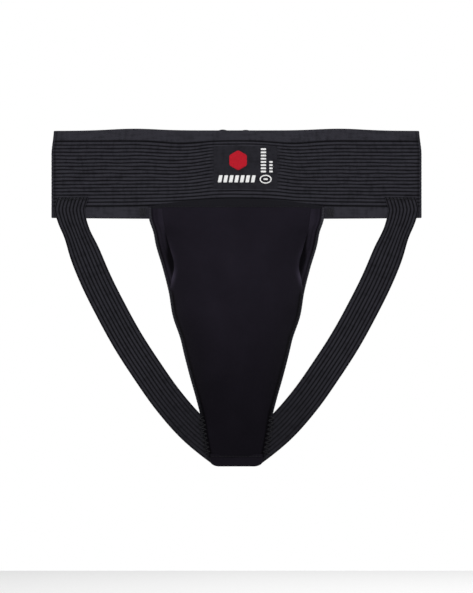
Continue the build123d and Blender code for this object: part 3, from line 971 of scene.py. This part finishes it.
def top_strip():
    """The pouch's upper edge, laid over the band's lower hem."""
    t = side_steps((1, 0.998, 0.993, 0.986), 0.975, 91)
    x = TAPE_HIGH[0] * t
    top = TAPE_HIGH[2] - 6.8 * t**2
    rows = edge_steps(1.0, 0.08, 0.06)
    z = STRIP_LOW + (top - STRIP_LOW)[:, None] * rows
    y = front_y(x, 0.65)[:, None] - 0.25 * ripple(x[:, None], z, 26, 31) * rows
    grid = points_at(x[:, None], y, z)
    feather = 0.1 + 0.9 * smooth_step(z, STRIP_LOW, MEETING_Z + 1.5)
    strip = padded_grid("pouch_top_strip", grid, 0.42 * feather, 0.4 * feather, STRIP_KNIT,
                        x[:, None], z, 0.8, straight(grid, -1))
    place(strip, "waistband", "pouch_knit", "pouch_seam_tape")


def side_panels():
    """What shows behind the front panel's free edges."""
    for side, name in SIDES:
        z_steps = SIDE_TOP - edge_steps(SIDE_TOP - SIDE_BOTTOM, 1.8)
        t = edge_steps(1.0, 0.07, 0.05)
        z = z_steps[:, None] * np.ones_like(t)
        inner = panel_half(z) - 7.0
        outer = outline_half(z) - 1.0
        x = side * (inner + (outer - inner) * t)
        step_back = 5.0 * smooth_step(-z, 4, 26) * (1 - 0.8 * t**2)
        beside = np.abs(x) - panel_half(z)
        reach = 0.8 + 4.0 * swell(z, -36, 10)
        # painted shade in the recess behind each free edge
        recess_shade = (1 - smooth_step(beside, reach - 1.0, reach + 1.4)) * smooth_step(-z, 8, 20)
        recess_shade = recess_shade * (1 - smooth_step(-z, 44, 52))
        inset = outline_half(z) - np.abs(x)
        # painted shade along the seam lines beside the binding
        seam = swell(inset, 2.9, 0.7) + 0.5 * swell(inset, 6.2, 0.9)
        # depth_shade mixes random tone with the painted shade of the seams and the recess
        depth_shade = (0.65 + 0.13 * ripple(x * 1.2, z * 0.3, 14, 71)) * (1 - 0.7 * seam)
        depth_shade = np.clip(depth_shade * (1 - 0.88 * recess_shade), 0, 1)
        pleat = 0.5 * np.sin(np.pi * t * 3 + z / 19) * smooth_step(-z, 0, 15)
        grid = points_at(x, pouch_y(x, z) + 0.7 + step_back + pleat, z)
        panel = padded_grid(f"pouch_side_panel_{name}_knit", grid, 0.4, 0.4, SIDE_KNIT,
                            (SIDE_TOP - z_steps)[:, None], x * side, depth_shade, front_normals(grid))
        place_across(panel, "pouch_knit", f"pouch_side_panel_{name}")


def bindings():
    """Folded tape along the outline of the pouch."""
    for side, name in SIDES:
        z = np.linspace(BINDING_TOP, BINDING_FOOT, 320)
        half = outline_half(z)
        x = side * (half - 0.85)
        below = smooth_step(-z, 0.0, 16.0)
        y = front_y(x, 1.5) * (1 - below) + (seam_y(z) + 0.2) * below
        path = points_at(x, y, z)
        direction = points_at(float(side), 0.35 * below, 0.0)
        pulse = 1 + 0.05 * np.sin(z * 2 * np.pi / 2.7)
        flat = 1.25 * pulse * (1 - 0.25 * smooth_step(-z, 165, 180))
        strip = tube(f"edge_binding_{name}_tape", path, direction, flat, 0.95 * pulse, TAPE)
        place_across(strip, "binding", f"edge_binding_{name}")
        runs = [
            (path[n] - (side * 1.1, 0.75, 0.0), path[n + 1] + (side * 1.1, -0.75, 0.0))
            for n in range(2, int(len(z) * 0.8), 2)
        ]
        overlock = thread(f"edge_binding_{name}_stitches", runs, 0.2, GREY_THREAD, 0.35)
        place_across(overlock, "black_thread")


def seam_stitches():
    """Stitches along the line where the strip meets the front panel."""
    z = MEETING_Z - 0.3
    runs = [
        [(x, pouch_y(x, z) - panel_relief(x, z) - 0.3, z) for x in (middle - 1.1, middle + 1.1)]
        for middle in np.arange(-61.5, 61.6, 3.0)
    ]
    rows = thread("pouch_seam_stitches", runs, 0.3, SEAM_THREAD, 0.15)
    place(rows, "waistband", "black_thread", "pouch_seam_stitching")


def bar_tacks():
    for _, name in SIDES:
        node = f"seam_bar_tack_{name}"
        low, high = box_mm(node)
        runs = []
        for n, x in enumerate(np.arange(low[0] + 0.3, high[0] - 0.2, 0.72)):
            start, end = (low[2], high[2]) if n % 2 else (high[2], low[2])
            y = front_y(x, 0.25)
            runs.append([(x, y, start), (x + 0.5, y, end)])
        tack = thread(f"{node}_stitches", runs, 0.42, BLACK_THREAD, 0.3)
        place(tack, "waistband", "black_thread", node)


def pocket():
    """Lining behind the cup, with a ribbed elastic along its mouth."""
    def lining_y(x, z):
        half = outline_half(z) - 2.4
        arch = 1 - (np.minimum(np.abs(x) / half, 1)) ** 2
        below_cup = smooth_step(-z, 165, 184)
        behind = (SEAM_TO_LINING + LINING_BULGE * arch) * (1 - below_cup)
        return seam_y(z) + behind - 0.6 * below_cup

    z_steps = LINING_HIGH[2] - edge_steps(LINING_HIGH[2] - LINING_FOOT, 2.2)
    t = side_steps((1, 0.995, 0.985, 0.97), 0.94, 47)
    z = z_steps[:, None] * np.ones_like(t)
    x = (outline_half(z) - 1.8 - 1.2 * smooth_step(-z, 165, 184)) * t
    folds = ripple(x * 1.3, z * 0.35, 34, 41) + 0.4 * ripple(x, z, 15, 42)
    calm = smooth_step(LINING_HIGH[2] - z, 0, 14) * (1 - t**8)
    y = lining_y(x, z) + 0.5 * folds * calm
    # lighter where the folds stand out, painted light
    height = 0.62 + 0.16 * folds * calm
    # painted shade along the seam line inside the outline
    seam = swell(outline_half(z) - np.abs(x), 5.0, 0.8)
    height = np.clip(height * (1 - 0.6 * seam), 0, 1)
    grid = points_at(x, y, z)
    lining = padded_grid("pocket_lining_knit", grid, 0.5, 0.5, LINING_KNIT,
                         (LINING_HIGH[2] - z_steps)[:, None], x, height, straight(grid, 1))
    place(lining, "pouch", "pouch_knit", "pocket_lining")

    ribs = 3
    q = rib_rows(ribs, 6, 3)
    v = (q + 1) / (ribs + 2)
    u = side_steps((1, 0.995, 0.985, 0.97), 0.95, 61)
    z = MOUTH_LOW[2] - 1.5 + (MOUTH_HIGH[2] - MOUTH_LOW[2] + 1.5) * v[None] * np.ones((len(u), 1))
    x = (outline_half(z) - 1.8) * u[:, None]
    height = rib_height(q, ribs)[None] * np.ones_like(z)
    grid = points_at(x, lining_y(x, z) + 0.4, z)
    lift = 1.3 - 0.4 * (1 - height)
    mouth = padded_grid("pocket_mouth_ribbed_elastic", grid, lift, 0.9, STRAP_CLOTH,
                        x + 80, z, height, straight(grid, 1))
    place(mouth, "pouch", "strap_elastic", "pocket_mouth_elastic")


# distance down the pouch at which the hem's cloth takes its painted shade
TOE_PAINTED_SHADE_AT = 150.0


def toe_hem():
    """Folded hem at the foot of the pouch, round at its lower corners."""
    v = edge_steps(TOE_HIGH[2] - TOE_LOW[2] + 1.5, 0.7, 1.2)
    z = TOE_LOW[2] + v
    corner = np.clip((TOE_LOW[2] + 4.5 - z) / 4.5, 0, 1)
    half = (TOE_HIGH[0] - 0.4) * (1 - 0.36 * (1 - np.sqrt(1 - 0.98 * corner**2)))
    t = side_steps((1, 0.99, 0.97, 0.95), 0.92, 53)
    x = half[:, None] * t
    z = z[:, None] * np.ones_like(t)
    y = (TOE_LOW[1] + TOE_HIGH[1]) / 2 + 0.25 * ripple(x, z, 14, 51)
    grid = points_at(x, y, z)
    lift = 0.9 + 0.85 * smooth_step(z, TOE_HIGH[2] + 1.5, TOE_HIGH[2] - 3.5)
    hem = padded_grid("pouch_toe_hem_knit", grid, lift, 1.6, KNIT, v[:, None] + TOE_PAINTED_SHADE_AT, x,
                      0.19, straight(grid, -1))
    place(hem, "pouch", "pouch_knit", "pouch_toe_hem")
    runs = [
        [(x, TOE_LOW[1] - 0.15, TOE_HIGH[2] - 0.6) for x in (middle - 1.0, middle + 1.0)]
        for middle in np.arange(-TOE_HIGH[0] + 2.5, TOE_HIGH[0] - 2.0, 2.9)
    ]
    rows = thread("toe_hem_stitches", runs, 0.3, SEAM_THREAD, 0.15)
    place(rows, "pouch", "black_thread")


# ================= the leg straps =================

# centre line of the right strap from its sewn top end to the toe: x, y and z
STRAP_ROUTE = (
    (141.0, -23.2, 17.8), (143.0, -23.0, 12.0), (144.0, -22.8, 7.5), (142.7, -22.3, 0.6),
    (138.4, -20.8, -11.5), (132.3, -19.7, -27.4), (121.5, -19.6, -53.4), (108.6, -19.6, -79.3),
    (94.3, -19.6, -105.3), (77.5, -19.8, -131.4), (58.6, -20.8, -158.0), (38.2, -22.8, -181.0),
    (14.8, -24.6, -200.2), (-10.0, -25.4, -217.0),
)
# where the straps' ends are cut: close to the middle, and level behind the toe hem
STRAP_END_X = 0.8
STRAP_END_Z = -212.6


def strap_line(samples):
    """Even points along the smooth centre line and their distance travelled."""
    route = np.array(STRAP_ROUTE)
    key = np.concatenate([[0], np.cumsum(np.linalg.norm(np.diff(route, axis=0), axis=1))])
    s = np.linspace(0, key[-1], samples)
    return s, smooth_line(key, route, s)


def leg_straps():
    s, line = strap_line(420)
    along = unit(np.gradient(line, axis=0))
    square = unit(points_at(-along[:, 2], 0, along[:, 0]))
    on_band = (1 - smooth_step(s, 10.0, 34.0))[:, None]
    across = unit(np.array([1.0, 0.0, 0.0]) * on_band + square * (1 - on_band))
    width = 26.8 - 3.6 * swell(s, 32, 14)
    q = rib_rows(STRAP_RIBS, 6, 2)
    selvedge = 0.035
    v = selvedge * (np.clip(q + 1, 0, 1) + np.clip(q - STRAP_RIBS, 0, 1))
    v = v + (1 - 2 * selvedge) * np.clip(q / STRAP_RIBS, 0, 1)
    offset = (v - 0.5)[None] * width[:, None]
    # each row of the strap runs until it meets the cut
    full = line[:, None] + across[:, None] * offset[..., None]
    past_cut = (full[..., 0] < STRAP_END_X) | (full[..., 2] < STRAP_END_Z)
    last = np.argmax(past_cut, axis=0)
    travelled = s[last] * np.linspace(0, 1, 215)[:, None]
    trimmed = np.empty((*travelled.shape, 3))
    for row in range(len(q)):
        for part in range(3):
            trimmed[:, row, part] = np.interp(travelled[:, row], s, full[:, row, part])
    middle_z = np.interp(travelled, s, line[:, 2])
    across_place = np.broadcast_to(v * STRAP_WIDTH, travelled.shape)
    flatter = 0.55 * smooth_step(travelled, 150, 235)
    height = rib_height(q, STRAP_RIBS) * (1 - flatter) + 0.58 * flatter
    over = 1 - smooth_step(-middle_z, 2.0, 26.0)
    for side, name in SIDES:
        grid = trimmed.copy()
        wave = 0.5 * ripple(travelled * 0.8, across_place, 70, 61 + side)
        grid[..., 1] += wave * smooth_step(travelled, 20, 60) * smooth_step(travelled, 225, 185)
        # on the band the strap follows the band's curved front
        flat_y = front_y(np.clip(grid[..., 0], 0, 157.5), 0.95)
        grid[..., 1] = grid[..., 1] * (1 - over) + flat_y * over
        grid[..., 0] *= side
        lift = 0.75 - STRAP_RIB_HEIGHT * (1 - height)
        strap = padded_grid(f"leg_strap_{name}_ribbed_elastic", grid, lift, lift, STRAP_CLOTH,
                            travelled, across_place, height, front_normals(grid))
        place_across(strap, "strap_elastic", f"leg_strap_{name}", f"strap_anchor_{name}",
                     start=(0, BAND_FRONT_Y * MM, 0.0), end=(0, BAND_FRONT_Y * MM, -0.03))


def anchor_stitches():
    """Zigzag row that holds the strap's top end on the band."""
    for side, name in SIDES:
        runs = []
        middle = ANCHOR_HIGH[2] - 1.6
        for n, start in enumerate(np.arange(ANCHOR_LOW[0] + 1.2, ANCHOR_HIGH[0] - 2.4, 2.0)):
            swing = 0.9 if n % 2 else -0.9
            ends = ((start, middle - swing), (start + 2.0, middle + swing))
            runs.append([(side * x, front_y(x, 1.9), z) for x, z in ends])
        rows = thread(f"strap_anchor_{name}_stitches", runs, 0.32, SEAM_THREAD, 0.12)
        place(rows, "waistband", "black_thread", f"strap_anchor_stitching_{name}")


# levels of the zigzag beside the toe, and how far it swings in and out from the outline
ZIGZAG_TOP = -171.0
ZIGZAG_FOOT = -204.5
ZIGZAG_IN = 2.8
ZIGZAG_OUT = 2.6


def toe_zigzags():
    """Zigzag along the toe's side edges, through the straps behind."""
    for side, name in SIDES:
        runs = []
        levels = np.arange(ZIGZAG_TOP, ZIGZAG_FOOT, -1.9)
        for n, (high, low) in enumerate(zip(levels, levels[1:])):
            insets = (-ZIGZAG_OUT, ZIGZAG_IN) if n % 2 else (ZIGZAG_IN, -ZIGZAG_OUT)
            ends = []
            for inset, z in zip(insets, (high, low)):
                x = side * (outline_half(z) - inset)
                y = pouch_y(x, z) - panel_relief(x, z) - 0.7 + 0.25 * (inset < 0)
                ends.append((x, y, z))
            runs.append(ends)
        rows = thread(f"strap_zigzag_{name}_stitches", runs, 0.36, SEAM_THREAD, 0.35)
        place(rows, "pouch", "black_thread", f"strap_zigzag_{name}")


# ================= building =================

ribbed_band()
band_lap()
lap_stitching()
label_ground()
label_marks()
top_strip()
side_panels()
front_panel()
bindings()
seam_stitches()
bar_tacks()
pocket()
toe_hem()
leg_straps()
anchor_stitches()
toe_zigzags()

for node, material, finish in (
    ("cup_shell", CUP_PLASTIC, "cup_plastic"),
    ("cup_rim_gasket", CUP_RUBBER, "cup_gasket"),
):
    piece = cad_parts[node]
    for slot in piece.material_slots:
        slot.material = material


# ================= studio =================


def plain_material(name, colour):
    n = Nodes(name, 0.9)
    speck = n.noise(n.object_place(), 60.0)
    tone = n.mixed(n.spread(speck, 0.0, 0.03), (*colour, 1), (*(c * 0.95 for c in colour), 1))
    n.link(tone, n.shader.inputs["Base Color"])
    return n.material


FLOOR_Z = -450.0
FLOOR_HALF = 2600.0


def floor():
    """Plain pale floor well below the part."""
    steps = np.linspace(-FLOOR_HALF, FLOOR_HALF, 5)
    points = [(x, y, FLOOR_Z) for x in steps for y in steps]
    faces = [
        [i * 5 + j, (i + 1) * 5 + j, (i + 1) * 5 + j + 1, i * 5 + j + 1]
        for i in range(4)
        for j in range(4)
    ]
    ground = new_object("studio_floor", points, faces, plain_material("pale_floor", (0.9, 0.9, 0.9)))


def soft_light(name, position, size, power):
    """Square area light that faces the part."""
    data = bpy.data.lights.new(name, "AREA")
    data.shape = "SQUARE"
    data.size = size
    data.energy = power
    lamp = bpy.data.objects.new(name, data)
    lamp.location = position
    lamp.rotation_mode = "QUATERNION"
    lamp.rotation_quaternion = (-Vector(position)).to_track_quat("-Z", "Y")
    lamp.visible_camera = False
    bpy.context.scene.collection.objects.link(lamp)


AMBIENT = 0.34


def studio():
    scene = bpy.context.scene
    scene.view_settings.view_transform = "Standard"
    world = bpy.data.worlds.new("pale_studio")
    world.use_nodes = True
    tree = world.node_tree
    background = tree.nodes["Background"]
    background.inputs["Color"].default_value = (1.0, 1.0, 1.0, 1.0)
    # the white surround is seen at full strength and lights the part at AMBIENT
    seen = tree.nodes.new("ShaderNodeLightPath").outputs["Is Camera Ray"]
    strength = tree.nodes.new("ShaderNodeMapRange")
    strength.inputs["To Min"].default_value = AMBIENT
    strength.inputs["To Max"].default_value = 1.0
    tree.links.new(seen, strength.inputs["Value"])
    tree.links.new(strength.outputs[0], background.inputs["Strength"])
    scene.world = world
    soft_light("key", (-0.9, -2.2, 1.9), 1.4, 54.0)
    soft_light("fill", (2.6, -3.2, 1.0), 2.6, 54.0)
    soft_light("rear", (0.6, 2.4, 1.5), 1.6, 40.0)


# the camera looks straight along +Y from far away
VIEW_HEIGHT = 510.6
VIEW_MIDDLE_Z = -67.8
LENS = 300.0
SENSOR = 36.0


def camera():
    data = bpy.data.cameras.new("front_view")
    data.lens = LENS
    data.sensor_width = SENSOR
    data.clip_start = 0.1
    data.clip_end = 50.0
    eye = bpy.data.objects.new("front_view", data)
    distance = VIEW_HEIGHT * LENS / SENSOR
    eye.location = (0, (BAND_FRONT_Y - distance) * MM, VIEW_MIDDLE_Z * MM)
    eye.rotation_euler = (math.pi / 2, 0, 0)
    bpy.context.scene.collection.objects.link(eye)
    bpy.context.scene.camera = eye


floor()
studio()
camera()
